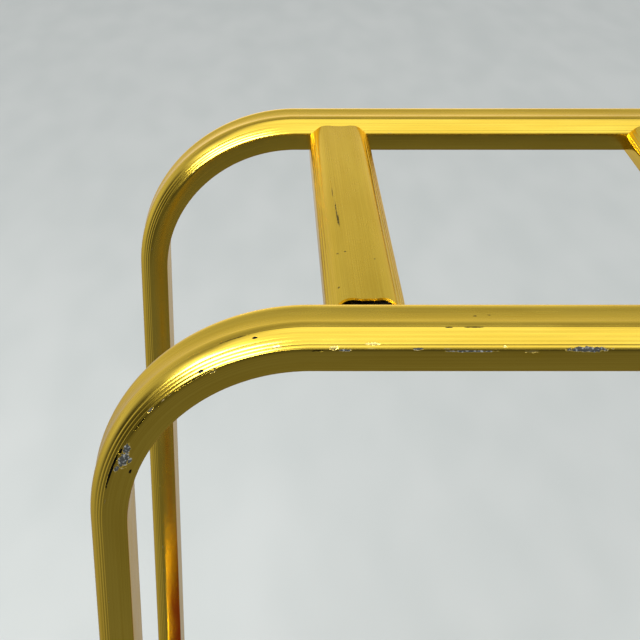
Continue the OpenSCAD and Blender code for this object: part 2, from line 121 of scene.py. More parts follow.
class Graph:
    """Node tree of one material or world, to which a finish adds its nodes."""

    def __init__(self, owner: Material | bpy.types.World) -> None:
        """Opens the owner's node tree.

        Args:
            owner: Material or world that the nodes belong to.
        """
        owner.use_nodes = True
        self.owner = owner
        self.tree = owner.node_tree

    def add(self, kind: str, inputs: dict | None = None, **settings: object) -> Node:
        """Adds one node with its settings and links.

        Args:
            kind: Node type without its "ShaderNode" prefix.
            inputs: Socket name or number to a value, or to a node or socket to link from.
            settings: Properties to set on the node.

        Returns:
            The new node.
        """
        node = self.tree.nodes.new("ShaderNode" + kind)
        for name, value in settings.items():
            setattr(node, name, value)
        self.link(node, inputs or {})
        return node

    def link(self, node: Node, inputs: dict) -> None:
        """Sets or links a node's inputs.

        Args:
            node: Node whose inputs are set.
            inputs: Socket name or number to a value, or to a node or socket to link from.
        """
        for key, value in inputs.items():
            self.link_socket(node.inputs[key], value)

    def shade(self, inputs: dict) -> None:
        """Sets or links the inputs of the material's Principled shader."""
        self.link(self.tree.nodes["Principled BSDF"], inputs)

    def place(self, pattern: Pattern, scale: tuple[float, float, float]) -> Node:
        """Adds coordinates in pattern repeats.

        Args:
            pattern: What the pattern follows.
            scale: Repeats to a metre along each axis.

        Returns:
            A Mapping node.
        """
        if pattern is Pattern.RUN:
            source = self.add("UVMap", uv_map=RUN_MAP).outputs["UV"]
        else:
            source = self.add("TexCoord").outputs["Object"]
        return self.add("Mapping", {"Vector": source, "Scale": scale})

    def noise(self, vector: Node, detail: float = 2.0, rough: float = 0.5, size: float = 1.0) -> Node:
        """Adds a noise whose grains are one repeat of its vector times size wide."""
        return self.add("TexNoise", {"Vector": vector, "Scale": 1.0 / size, "Detail": detail,
                                     "Roughness": rough})

    def math(self, operation: str, *values: object) -> Node:
        """Adds a Math node of that operation on those values."""
        return self.add("Math", dict(enumerate(values)), operation=operation)

    def spread(self, value: object, low: float, high: float, to_low: float = 0.0,
               to_high: float = 1.0, smooth: bool = True) -> Node:
        """Maps a range of a value to another range, clamped at both ends."""
        return self.add("MapRange", {0: value, 1: low, 2: high, 3: to_low, 4: to_high},
                        interpolation_type="SMOOTHSTEP" if smooth else "LINEAR")

    def blend(self, share: object, first: object, second: object, mode: str = "MIX") -> object:
        """Mixes two colours and returns the mixed colour's socket."""
        node = self.add("Mix", {"Factor": share}, data_type="RGBA", blend_type=mode)
        colours = [s for s in node.inputs if s.type == "RGBA"]
        for socket, value in zip(colours, (first, second)):
            self.link_socket(socket, value)
        return next(s for s in node.outputs if s.type == "RGBA")

    def link_socket(self, socket: bpy.types.NodeSocket, value: object) -> None:
        """Sets or links one input socket."""
        if isinstance(value, Node):
            value = value.outputs[0]
        if isinstance(value, bpy.types.NodeSocket):
            self.tree.links.new(value, socket)
        else:
            socket.default_value = value

    def bump(self, height: object, depth: float, strength: float = 1.0) -> Node:
        """Adds a bump of that height pattern, with depth in metres for a height of one."""
        return self.add("Bump", {"Height": height, "Distance": depth, "Strength": strength})


@dataclass(frozen=True)
class Finish:
    """What all finishes have: a name, and a material that is made once."""

    name: str

    def material(self) -> Material:
        """Returns the finish's material, and makes it the first time."""
        found = bpy.data.materials.get(self.name)
        if found is None:
            found = bpy.data.materials.new(self.name)
            self.paint(Graph(found))
        return found

    def paint(self, graph: Graph) -> None:
        """Adds the finish's nodes to its material's graph."""
        raise NotImplementedError


class Damage(Enum):
    """Ways in which a tube's surface is spoilt; a dent is a sunk bump coloured with a painted highlight.
    """

    DIRT = "dirt in a scratch or nick"
    FLAKE = "oxide flaked off to grey metal"
    # A dent sinks the surface by a bump and is coloured pale yellow as a painted highlight, where it would
    # catch the light.
    DENT = "bright dent"


@dataclass(frozen=True)
class Mark:
    """One place where a tube is chipped, scratched or rubbed.

    Attributes:
        along: Distance from the left end of the tube's top, where its bend ends; it falls on the
            bend and on down the leg.
        across: Distance round the section from the middle of the crown, to the cart's right.
        length: Size along the tube.
        width: Size round the section.
        kind: What happened there.
    """

    along: float
    across: float
    length: float
    width: float
    kind: Damage = Damage.DIRT


@dataclass(frozen=True)
class AnodisedGold(Finish):
    """Gold anodised extruded aluminium.

    The dye gives a metal of saturated yellow, the clear oxide a pale gloss at a grazing angle,
    and the extrusion die fine lines lengthwise. Where it is rubbed through, bare grey metal shows.
    """

    pattern: Pattern = Pattern.RUN
    face: str = "#E9C94A"
    shade: str = "#DBB93A"
    rubbed: str = "#B9A98A"
    dirt: str = "#120F09"
    flaked: tuple[str, str] = ("#2E3234", "#7B7F80")
    # Colour of a dent: a painted highlight, pale yellow where a dent catches the light.
    dent: str = "#EAD27A"
    glance: str = "#FFE9A8"
    oxide: float = 0.3
    oxide_rough: float = 0.14
    gloss: tuple[float, float] = (0.15, 0.23)
    edge: float = 0.0292
    crown: float = 0.0142
    marks: tuple[Mark, ...] = ()
    wear: float = 1.0

    def paint(self, graph: Graph) -> None:
        """Adds the die lines, the cloudy dye, the rubbed edges, the nicks and the named marks, whose dents
        carry painted highlights.
        """
        lines = graph.noise(graph.place(self.pattern, (5.0, 1500.0, 1500.0)), 2.0, 0.6)
        cloud = graph.noise(graph.place(self.pattern, (9.0, 55.0, 55.0)), 3.0)
        tone = graph.math("ADD", graph.math("MULTIPLY", lines, 0.55),
                          graph.math("MULTIPLY", cloud, 0.45))
        colour = graph.blend(graph.spread(tone, 0.38, 0.62), linear(self.shade), linear(self.face))
        smear = graph.noise(graph.place(self.pattern, (30.0, 120.0, 120.0)), 2.0, 0.5)
        rough = graph.math("ADD", graph.spread(smear, 0.3, 0.75, *self.gloss),
                           graph.spread(lines, 0.3, 0.7, -0.015, 0.02))
        metal: object = 1.0
        height = graph.math("MULTIPLY", cloud, 0.05)
        if self.pattern is Pattern.RUN:
            place = graph.add("SeparateXYZ", {0: graph.add("UVMap", uv_map=RUN_MAP).outputs["UV"]})
            round_it = graph.math("ABSOLUTE", place.outputs["Y"])
            rough = graph.math("ADD", rough, graph.spread(round_it, self.crown - 0.001,
                                                          self.crown + 0.001, 0.06, 0.0))
            near_edge = graph.math("ABSOLUTE", graph.math("SUBTRACT", round_it, self.edge))
            rub = graph.noise(graph.place(self.pattern, (70.0, 500.0, 1.0)), 5.0, 0.7)
            rubbed = graph.math("MULTIPLY", graph.spread(near_edge, 0.0004, 0.0018, 1.0, 0.0),
                                graph.spread(rub, 0.62, 0.70, 0.0, 0.8 * self.wear))
            colour = graph.blend(rubbed, colour, linear(self.rubbed))
            rough = graph.math("ADD", rough, graph.math("MULTIPLY", rubbed, 0.2))
            reach = graph.spread(near_edge, 0.002, 0.014, 0.035, 0.0)
        else:
            reach = 0.0
        speck = graph.noise(graph.place(self.pattern, (420.0, 700.0, 700.0)), 3.0, 0.7)
        nick = graph.spread(graph.math("ADD", speck, reach), 0.795 - 0.015 * self.wear, 0.81)
        colour = graph.blend(nick, colour, linear(self.dirt))
        height = graph.math("SUBTRACT", height, nick)
        if self.marks:
            ragged = graph.noise(graph.place(self.pattern, (380.0, 380.0, 1.0)), 4.0, 0.65)
            mottle = graph.noise(graph.place(self.pattern, (520.0, 520.0, 1.0)), 3.0, 0.6)
            flaked = graph.blend(graph.spread(mottle, 0.52, 0.62), linear(self.flaked[0]),
                                 linear(self.flaked[1]))
            # A dent's tint is a painted highlight; its sunk height is a real bump.
            tints = {Damage.DIRT: linear(self.dirt), Damage.FLAKE: flaked,
                     Damage.DENT: linear(self.dent)}
            for mark in self.marks:
                hit = self.hit(graph, place, ragged, mark)
                colour = graph.blend(hit, colour, tints[mark.kind])
                height = graph.math("SUBTRACT", height, hit)
                if mark.kind is Damage.FLAKE:
                    metal = graph.math("SUBTRACT", metal, graph.math("MULTIPLY", hit, 0.8))
                    rough = graph.math("ADD", rough, graph.math("MULTIPLY", hit, 0.35))
        graph.shade({"Base Color": colour, "Metallic": metal, "Roughness": rough,
                     "Normal": graph.bump(height, 0.00012, 0.6),
                     "Specular Tint": linear(self.glance),
                     "Coat Weight": self.oxide, "Coat Roughness": self.oxide_rough,
                     "Coat IOR": 1.45})

    def hit(self, graph: Graph, place: Node, ragged: Node, mark: Mark) -> Node:
        """Adds the ragged oval that one mark covers.

        A point is in the mark where its distance from the middle, in half sizes of the mark, plus
        a noise is under one.

        Args:
            graph: Graph that the nodes go to.
            place: Separated run coordinates.
            ragged: Noise that roughens the outline.
            mark: The mark.

        Returns:
            A node that is 1 in the mark and 0 outside.
        """
        du = graph.math("DIVIDE", graph.math("SUBTRACT", place.outputs["X"], mark.along), mark.length / 2)
        dv = graph.math("DIVIDE", graph.math("SUBTRACT", place.outputs["Y"], mark.across), mark.width / 2)
        far = graph.math("SQRT", graph.math("ADD", graph.math("MULTIPLY", du, du),
                                            graph.math("MULTIPLY", dv, dv)))
        edge = graph.math("MULTIPLY", graph.math("SUBTRACT", ragged, 0.5), 1.9)
        return graph.spread(graph.math("ADD", far, edge), 0.8, 1.0, 1.0, 0.0)


@dataclass(frozen=True)
class Metal(Finish):
    """Bare or plated metal: zinc-plated steel, mill-finish aluminium.

    A blotchy grey reflection with short scratches that lie every way.
    """

    light: str = "#C9CCD0"
    dark: str = "#A9AEB6"
    rough: float = 0.30
    stretch: tuple[float, float, float] = (300.0, 300.0, 300.0)
    dirt: str = "#6E6A62"

    def paint(self, graph: Graph) -> None:
        """Adds blotches of a few centimetres, handling scratches and a little dirt in patches."""
        blotch = graph.noise(graph.place(Pattern.SPACE, (38.0, 38.0, 38.0)), 3.0, 0.55)
        fine = graph.noise(graph.place(Pattern.SPACE, self.stretch), 4.0, 0.6)
        scratch = graph.noise(graph.place(Pattern.SPACE, (900.0, 60.0, 200.0)), 2.0, 0.7)
        colour = graph.blend(graph.spread(blotch, 0.35, 0.65), linear(self.dark), linear(self.light))
        dirt = graph.noise(graph.place(Pattern.SPACE, (90.0, 90.0, 90.0)), 5.0, 0.7)
        colour = graph.blend(graph.spread(dirt, 0.60, 0.78, 0.0, 0.45), colour, linear(self.dirt))
        rough = graph.math("ADD", graph.spread(blotch, 0.3, 0.7, self.rough - 0.05, self.rough + 0.07),
                           graph.spread(fine, 0.3, 0.7, -0.04, 0.06))
        height = graph.math("ADD", graph.math("MULTIPLY", fine, 0.5),
                            graph.math("MULTIPLY", graph.spread(scratch, 0.60, 0.72), -0.4))
        graph.shade({"Base Color": colour, "Metallic": 1.0, "Roughness": rough,
                     "Normal": graph.bump(height, 0.00008, 0.5)})


@dataclass(frozen=True)
class PowderCoat(Finish):
    """Powder-coated steel: a semi-gloss skin with orange peel about a millimetre across."""

    colour: str = "#1B1C1E"
    worn: str = "#3B3D40"
    rough: float = 0.42
    scuffed: str = "#7B7C7C"

    def paint(self, graph: Graph) -> None:
        """Adds the orange peel, dusty patches and sparse scuffs."""
        peel = graph.noise(graph.place(Pattern.SPACE, (750.0, 750.0, 750.0)), 1.5, 0.5)
        dust = graph.noise(graph.place(Pattern.SPACE, (28.0, 28.0, 28.0)), 4.0, 0.6)
        scuff = graph.noise(graph.place(Pattern.SPACE, (160.0, 420.0, 420.0)), 4.0, 0.7)
        colour = graph.blend(graph.spread(dust, 0.4, 0.75, 0.0, 0.5), linear(self.colour),
                             linear(self.worn))
        colour = graph.blend(graph.spread(scuff, 0.72, 0.77, 0.0, 0.8), colour, linear(self.scuffed))
        rough = graph.spread(dust, 0.35, 0.7, self.rough - 0.06, self.rough + 0.14)
        graph.shade({"Base Color": colour, "Roughness": rough, "IOR": 1.5,
                     "Normal": graph.bump(peel, 0.00010, 0.5)})


@dataclass(frozen=True)
class BirchPlywood(Finish):
    """Sanded birch plywood: pale face grain along the board and darker plies across its edge."""

    pale: str = "#D9B98A"
    dark: str = "#B28A56"
    ply: float = 0.0015
    glue: str = "#8C6438"

    def paint(self, graph: Graph) -> None:
        """Adds grain lines along X and alternating plies up the edge."""
        grain = graph.noise(graph.place(Pattern.SPACE, (6.0, 160.0, 60.0)), 4.0, 0.6)
        figure = graph.noise(graph.place(Pattern.SPACE, (2.0, 14.0, 14.0)), 3.0, 0.5)
        plies = graph.add("TexWave", {"Vector": graph.place(Pattern.SPACE, (0.0, 0.0, 0.5 / self.ply)),
                                      "Scale": 0.314}, bands_direction="Z")
        tone = graph.math("ADD", graph.math("MULTIPLY", grain, 0.6), graph.math("MULTIPLY", figure, 0.4))
        colour = graph.blend(graph.spread(tone, 0.36, 0.64), linear(self.dark), linear(self.pale))
        colour = graph.blend(graph.spread(plies, 0.3, 0.8, 0.0, 0.35), colour, linear(self.glue))
        graph.shade({"Base Color": colour, "Roughness": graph.spread(grain, 0.3, 0.7, 0.55, 0.7),
                     "IOR": 1.5, "Normal": graph.bump(grain, 0.0002, 0.5)})


@dataclass(frozen=True)
class CutPile(Finish):
    """Cut-pile nylon carpet, deep red.

    Tufts stand 1.3 mm apart and lean in patches, so the red turns lighter or darker where feet
    and cases have brushed it, and the fibre ends give a soft sheen. The gaps between the tufts are
    darkened with painted shade.
    """

    deep: str = "#540C17"
    bright: str = "#821A26"
    tuft: float = 0.0013
    # root: painted shade, the darker red laid in the gaps between the tufts where the pile shades itself.
    root: str = "#3C0810"
    lint: str = "#B98C84"
    sheen: str = "#D98A88"

    def paint(self, graph: Graph) -> None:
        """Adds the tufts with painted shade between them, the brushed patches and the lint."""
        scale = 1.0 / self.tuft
        tufts = graph.add("TexVoronoi", {"Vector": graph.place(Pattern.SPACE, (scale, scale, scale)),
                                         "Scale": 1.0, "Randomness": 0.85})
        fibre = graph.noise(graph.place(Pattern.SPACE, (3 * scale, 3 * scale, 3 * scale)), 2.0, 0.7)
        lean = graph.noise(graph.place(Pattern.SPACE, (7.0, 11.0, 4.0)), 4.0, 0.55)
        fluff = graph.noise(graph.place(Pattern.SPACE, (70.0, 70.0, 70.0)), 4.0, 0.65)
        tone = graph.math("ADD", graph.math("MULTIPLY", lean, 0.55), graph.math("MULTIPLY", fluff, 0.45))
        colour = graph.blend(graph.spread(tone, 0.40, 0.62), linear(self.deep), linear(self.bright))
        # Painted shade: darkens the red away from each tuft's middle, into the gaps between the tufts.
        colour = graph.blend(graph.spread(tufts.outputs["Distance"], 0.25, 0.75, 0.0, 0.55), colour,
                             linear(self.root))
        lint = graph.noise(graph.place(Pattern.SPACE, (260.0, 260.0, 260.0)), 3.0, 0.6)
        colour = graph.blend(graph.spread(lint, 0.74, 0.78, 0.0, 0.5), colour, linear(self.lint))
        height = graph.math("ADD", graph.math("MULTIPLY", tufts.outputs["Distance"], -1.0),
                            graph.math("ADD", graph.math("MULTIPLY", fibre, 0.4),
                                       graph.math("MULTIPLY", fluff, 0.8)))
        graph.shade({"Base Color": colour, "Roughness": 0.95, "Sheen Weight": 0.45,
                     "Sheen Roughness": 0.45, "Sheen Tint": linear(self.sheen),
                     "Specular IOR Level": 0.15, "Normal": graph.bump(height, 0.0011, 0.9)})


@dataclass(frozen=True)
class Rubber(Finish):
    """Moulded rubber: matt, faintly mottled, dusty where it is scuffed."""

    colour: str = "#2B2B2C"
    dusty: str = "#57554F"
    rough: float = 0.62
    scuffs: float = 0.5

    def paint(self, graph: Graph) -> None:
        """Adds mould texture, dust and scuffs."""
        skin = graph.noise(graph.place(Pattern.SPACE, (1400.0, 1400.0, 1400.0)), 3.0, 0.6)
        dust = graph.noise(graph.place(Pattern.SPACE, (45.0, 45.0, 60.0)), 5.0, 0.65)
        scuff = graph.noise(graph.place(Pattern.SPACE, (90.0, 90.0, 420.0)), 4.0, 0.7)
        colour = graph.blend(graph.spread(dust, 0.42, 0.75, 0.0, 0.7), linear(self.colour),
                             linear(self.dusty))
        colour = graph.blend(graph.spread(scuff, 0.66, 0.74, 0.0, self.scuffs), colour,
                             linear(self.dusty))
        rough = graph.spread(dust, 0.3, 0.7, self.rough - 0.08, self.rough + 0.15)
        graph.shade({"Base Color": colour, "Roughness": rough, "IOR": 1.52,
                     "Specular IOR Level": 0.4, "Normal": graph.bump(skin, 0.00012, 0.6)})


@dataclass(frozen=True)
class Polypropylene(Finish):
    """Moulded polypropylene: a fine spark-eroded grain with a waxy, soft gloss."""

    colour: str = "#5F6265"
    pale: str = "#74777A"

    def paint(self, graph: Graph) -> None:
        """Adds the mould grain and faint flow marks."""
        grain = graph.noise(graph.place(Pattern.SPACE, (1800.0, 1800.0, 1800.0)), 2.0, 0.5)
        flow = graph.noise(graph.place(Pattern.SPACE, (50.0, 20.0, 50.0)), 3.0, 0.5)
        colour = graph.blend(graph.spread(flow, 0.35, 0.7), linear(self.colour), linear(self.pale))
        graph.shade({"Base Color": colour, "Roughness": graph.spread(flow, 0.3, 0.7, 0.38, 0.5),
                     "IOR": 1.49, "Normal": graph.bump(grain, 0.00008, 0.5)})


@dataclass(frozen=True)
class PaleFloor(Finish):
    """Plain pale sealed floor with a soft, broad mottle."""

    pale: str = "#C2C6C4"
    dull: str = "#BBC0BE"

    def paint(self, graph: Graph) -> None:
        """Adds the mottle."""
        broad = graph.noise(graph.place(Pattern.SPACE, (2.0, 0.9, 2.0)), 1.0, 0.4)
        small = graph.noise(graph.place(Pattern.SPACE, (9.0, 3.6, 9.0)), 1.0, 0.4)
        tone = graph.math("ADD", graph.math("MULTIPLY", broad, 0.35), graph.math("MULTIPLY", small, 0.65))
        colour = graph.blend(graph.spread(tone, 0.25, 0.75), linear(self.dull), linear(self.pale))
        graph.shade({"Base Color": colour, "Roughness": 0.8, "Specular IOR Level": 0.1})


ZINC = Metal("zinc_plated_steel")
BLACK_RUBBER = Rubber("black_moulded_rubber", "#222223", "#4C4A46", 0.6)
GREY_RUBBER = Rubber("grey_non_marking_rubber", "#7F8283", "#6A675F", 0.55, 0.4)
HUB_PLASTIC = Polypropylene("moulded_polypropylene")


# ---------------------------------------------------------------------------------------------
# Meshes
# ---------------------------------------------------------------------------------------------


def quads_of(rows: int, cols: int, wrap: tuple[bool, bool]) -> tuple[Array, Array]:
    """Quads of a grid of points.

    Face (i, j) joins point (i, j) to its neighbours in the next row and the next column.

    Args:
        rows: Number of points along the first parameter.
        cols: Number of points along the second parameter.
        wrap: Whether the first and the second parameter close on themselves.

    Returns:
        Point numbers of each quad, and the (row, column) of each corner before wrapping.
    """
    i, j = np.meshgrid(np.arange(rows if wrap[0] else rows - 1),
                       np.arange(cols if wrap[1] else cols - 1), indexing="ij")
    i, j = i.ravel(), j.ravel()
    corners = np.stack([np.stack([i, j], -1), np.stack([i + 1, j], -1),
                        np.stack([i + 1, j + 1], -1), np.stack([i, j + 1], -1)], 1)
    return (corners[..., 0] % rows) * cols + corners[..., 1] % cols, corners


def surface(name: str, points: Array, wrap: tuple[bool, bool] = (False, False),
            run: Array | None = None, crease: float = 40.0) -> Object:
    """Makes a piece from a grid of points, welds its poles and seams and faces it outwards.

    Args:
        name: Name of the piece.
        points: Points, rows x columns x 3.
        wrap: Whether the first and the second parameter close on themselves.
        run: Coordinates of the run of material, (rows + 1) x (columns + 1) x 2 where it wraps.
        crease: Angle in degrees above which an edge is drawn sharp.

    Returns:
        The new object.
    """
    rows, cols = points.shape[:2]
    quads, corners = quads_of(rows, cols, wrap)
    flat = points.reshape(-1, 3)
    a, b, c, d = (flat[quads[:, k]] for k in range(4))
    middle = flat.mean(0)
    volume = np.einsum("ij,ij->", a - middle, np.cross(b - middle, c - middle))
    volume += np.einsum("ij,ij->", a - middle, np.cross(c - middle, d - middle))
    if volume < 0:
        quads, corners = quads[:, ::-1], corners[:, ::-1]
    mesh = bpy.data.meshes.new(name)
    mesh.from_pydata(flat.tolist(), [], quads.tolist())
    if run is not None:
        layer = mesh.uv_layers.new(name=RUN_MAP)
        layer.data.foreach_set("uv", run[corners[..., 0], corners[..., 1]].ravel().astype(np.float32))
    return finished(name, mesh, crease)


def finished(name: str, mesh: bpy.types.Mesh, crease: float) -> Object:
    """Welds a mesh, shades it smooth but for its creases, and puts it in the scene."""
    work = bmesh.new()
    work.from_mesh(mesh)
    bmesh.ops.remove_doubles(work, verts=work.verts, dist=1e-6)
    bmesh.ops.dissolve_degenerate(work, edges=work.edges, dist=1e-7)
    work.to_mesh(mesh)
    work.free()
    mesh.shade_smooth()
    mesh.set_sharp_from_angle(angle=np.radians(crease))
    piece = bpy.data.objects.new(name, mesh)
    bpy.context.scene.collection.objects.link(piece)
    return piece


def softened(node: str, width: float, segments: int = 2, crease: float = 35.0) -> Object:
    """Copies a CAD node, merges its flat faces and rounds its hard edges.

    Args:
        node: Name of the CAD node that the copy stands for.
        width: Width of the rounded edge.
        segments: Faces across the rounded edge.
        crease: Angle in degrees above which an edge is rounded.

    Returns:
        The copy, which replaces the node and rides on its body.
    """
    mesh = frame["nodes"][node].data.copy()
    if "custom_normal" in mesh.attributes:
        mesh.attributes.remove(mesh.attributes["custom_normal"])
    work = bmesh.new()
    work.from_mesh(mesh)
    bmesh.ops.remove_doubles(work, verts=work.verts, dist=2e-6)
    bmesh.ops.dissolve_limit(work, angle_limit=np.radians(0.5), verts=work.verts, edges=work.edges)
    work.to_mesh(mesh)
    work.free()
    mesh.shade_smooth()
    piece = bpy.data.objects.new(node + "_rounded", mesh)
    bpy.context.scene.collection.objects.link(piece)
    bevel = piece.modifiers.new("rounded_edges", "BEVEL")
    bevel.width = width
    bevel.segments = segments
    bevel.limit_method = "ANGLE"
    bevel.angle_limit = np.radians(crease)
    bevel.use_clamp_overlap = True
    bevel.harden_normals = True
    settle(piece, node)
    return piece


def settle(piece: Object, *nodes: str, slot: str | None = None) -> Object:
    """Makes a piece stand for CAD nodes and ride on their body.

    Args:
        piece: The new piece.
        nodes: CAD nodes that it stands for.
        slot: Not used.

    Returns:
        The piece.
    """
    first = frame["nodes"][nodes[0]]
    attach(piece, first["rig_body"])
    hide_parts(*nodes)
    return piece


def coat(piece: Object, finish: Finish) -> Object:
    """Puts a finish in all of a piece's material slots."""
    material = finish.material()
    if not piece.data.materials:
        piece.data.materials.append(material)
    for place in piece.material_slots:
        place.material = material
    return piece


def arc(start: float, stop: float, steps: int) -> Array:
    """Returns the cosines and sines of evenly spaced angles in degrees, steps + 1 x 2."""
    angle = np.radians(np.linspace(start, stop, steps + 1))
    return np.stack([np.cos(angle), np.sin(angle)], -1)


def lengths(points: Array, closed: bool = False) -> Array:
    """Distances along a line of points from its first, with the whole length added if closed."""
    line = np.concatenate([points, points[:1]]) if closed else points
    return np.concatenate([[0.0], np.cumsum(np.linalg.norm(np.diff(line, axis=0), axis=1))])


# ---------------------------------------------------------------------------------------------
# Tubes
# ---------------------------------------------------------------------------------------------


@dataclass
class DTube:
    """Section of the extruded tube: flat inner face, side walls, fluted shoulders, dished crown."""

    width: float
    thick: float
    crown: float = 28 * MM
    shoulder: float = 10.2 * MM
    wall: float = 1.5 * MM
    bead_at: float = 9.8 * MM
    bead_from: float = 8 * MM
    bead_curve: float = 30.0
    dish: float = 0.43 * MM
    flutes: tuple[float, ...] = (1.2 * MM, 7.3 * MM, 10.0 * MM, 12.5 * MM, 14.5 * MM)
    flute_bow: tuple[float, ...] = (0.24 * MM, 0.17 * MM, 0.17 * MM, 0.12 * MM)
    edge_run: float = 2.8 * MM
    foot_r: float = 0.4 * MM

    def half(self) -> Array:
        """Half of the outline from the middle of the crown to the middle of the inner face.

        The crown is a shallow dish, a parabola, inside a low bead, another parabola; the shoulder
        is an arc with a groove at the crown and shallow bows for flutes; a quadratic curve leads
        into the side wall, and a quarter circle into the inner face.

        Returns:
            Points (across, above the inner face).
        """
        side, top = self.width / 2, self.thick
        rim = self.crown / 2
        across = np.concatenate([np.linspace(0, self.bead_from, 13)[:-1],
                                 np.linspace(self.bead_from, rim, 11)])
        bead = self.bead_curve * (across - self.bead_at) ** 2
        step = self.bead_curve * (self.bead_from - self.bead_at) ** 2
        dish = step + self.dish * (1 - (across / self.bead_from) ** 2)
        drop = np.where(across < self.bead_from, dish, bead)
        crown = np.stack([across, top - drop], -1)
        rise = top - self.shoulder
        middle = (side ** 2 - rim ** 2 + rise ** 2 - top ** 2) / (2 * (rise - top))
        radius = np.hypot(rim, top - middle)
        first = np.arcsin(rim / radius)
        start = crown[-1, 1] - top
        share = np.linspace(0, 1, 8)[1:]
        spots = [share * self.flutes[0]]
        sinks = [start - (start + self.flute_bow[0]) * share ** 2 * (3 - 2 * share)]
        for k, bow in enumerate(self.flute_bow):
            share = np.linspace(0, 1, 17 if k == 0 else 9)[1:]
            spots.append(self.flutes[k] + share * (self.flutes[k + 1] - self.flutes[k]))
            sinks.append(-bow * (2 * share - 1) ** 2)
        spot, sink = np.concatenate(spots), np.concatenate(sinks)
        angle = first + spot / radius
        out = radius + sink
        shoulder = np.stack([out * np.sin(angle), middle + out * np.cos(angle)], -1)
        shoulder[:, 1] = np.minimum(shoulder[:, 1], top)
        share = np.linspace(0, 1, 11)[1:, None]
        corner, end = np.array([side, rise]), np.array([side, rise - self.edge_run])
        edge = (1 - share) ** 2 * shoulder[-1] + 2 * share * (1 - share) * corner + share ** 2 * end
        foot = np.array([side - self.foot_r, self.foot_r]) + self.foot_r * arc(0, -90, 5)
        inner = np.stack([np.linspace(side - self.foot_r, 0, 5)[1:], np.zeros(4)], -1)
        return np.concatenate([crown, shoulder, edge, foot, inner])

    def outline(self) -> tuple[Array, Array]:
        """Whole outline and the distance round it.

        Returns:
            Points from the middle of the inner face over the crown and back, the last one left
            out, and distances from the middle of the crown with the closing one added.
        """
        half = self.half()
        whole = np.concatenate([half[::-1] * [-1, 1], half[1:-1]])
        away = lengths(whole, closed=True)
        return whole, away - away[len(half) - 1]

    def bore(self, outline: Array) -> Array:
        """Outline of the hollow: the outer one drawn in by the wall on every side."""
        squeeze = 1 - 2 * self.wall / np.array([self.width, self.thick])
        return outline * squeeze + [0, self.wall]


def swept(name: str, section: DTube, spine: Array, out: Array, side: Array, start: float,
          shift: Array | None = None) -> Object:
    """Carries a tube's section along a spine, with the bore and both rims.

    A point is the spine's point plus its outward direction times the height in the section plus
    the side direction times the place across. The rows run along the outside and back inside.

    Args:
        name: Name of the piece.
        section: The tube's section.
        spine: Points on the inner face, rows x 3.
        out: Direction from the inner face to the crown at each point, rows x 3.
        side: Direction that the section's first coordinate takes.
        start: Run coordinate of the spine's first point.
        shift: Displacement added to each outline point, rows x columns x 3.

    Returns:
        The new object.
    """
    outline, away = section.outline()
    shells = []
    for line in (outline, section.bore(outline)):
        shell = spine[:, None] + out[:, None] * line[None, :, 1:] + side * line[None, :, :1]
        shells.append(shell if shift is None else shell + shift)
    points = np.concatenate([shells[0], shells[1][::-1]])
    along = lengths(spine + out * section.thick / 2) + start
    along = np.concatenate([along, along[::-1], along[:1]])
    run = np.stack(np.broadcast_arrays(along[:, None], away[None]), -1)
    return surface(name, points, (True, True), run, crease=21)


@dataclass
class Hoop:
    """One hoop: two legs, two bends and the top bar between them."""

    node: str
    bend: float = 112 * MM
    bend_steps: int = 72
    thick: float = 24.5 * MM
    finish: AnodisedGold = field(default_factory=lambda: AnodisedGold("gold_anodised_tube"))

    def build(self) -> Object:
        """Builds the hoop in the CAD hoop's place.

        The spine goes up the left leg, round a quarter circle, along the top, round another
        quarter circle and down the right leg. Its run coordinate is 0 where the left bend ends.

        Returns:
            The hoop.
        """
        low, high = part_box(self.node)
        section = DTube(high.y - low.y, self.thick)
        reach, top = high.x - self.thick, high.z - self.thick
        turn = arc(180, 90, self.bend_steps)
        bend = np.stack([-(reach - self.bend) + self.bend * turn[:, 0], top - self.bend
                         + self.bend * turn[:, 1]], -1)
        leg = np.stack([np.full(6, -reach), np.linspace(low.z, top - self.bend, 7)[:-1]], -1)
        half = np.concatenate([leg, bend])
        half_out = np.concatenate([np.tile([-1.0, 0.0], (6, 1)), turn])
        bar = np.stack([np.linspace(-(reach - self.bend), reach - self.bend, 9)[1:-1],
                        np.full(7, top)], -1)
        spine = np.concatenate([half, bar, half[::-1] * [-1, 1]])
        out = np.concatenate([half_out, np.tile([0.0, 1.0], (7, 1)), half_out[::-1] * [-1, 1]])
        middle = (low.y + high.y) / 2
        spine = np.stack([spine[:, 0], np.full(len(spine), middle), spine[:, 1]], -1)
        out = np.stack([out[:, 0], np.zeros(len(out)), out[:, 1]], -1)
        start = -lengths(spine[:len(half)] + out[:len(half)] * self.thick / 2)[-1]
        piece = swept(self.node + "_tube", section, spine, out, np.array([0, -1.0, 0]), start)
        return coat(settle(piece, self.node), self.finish)


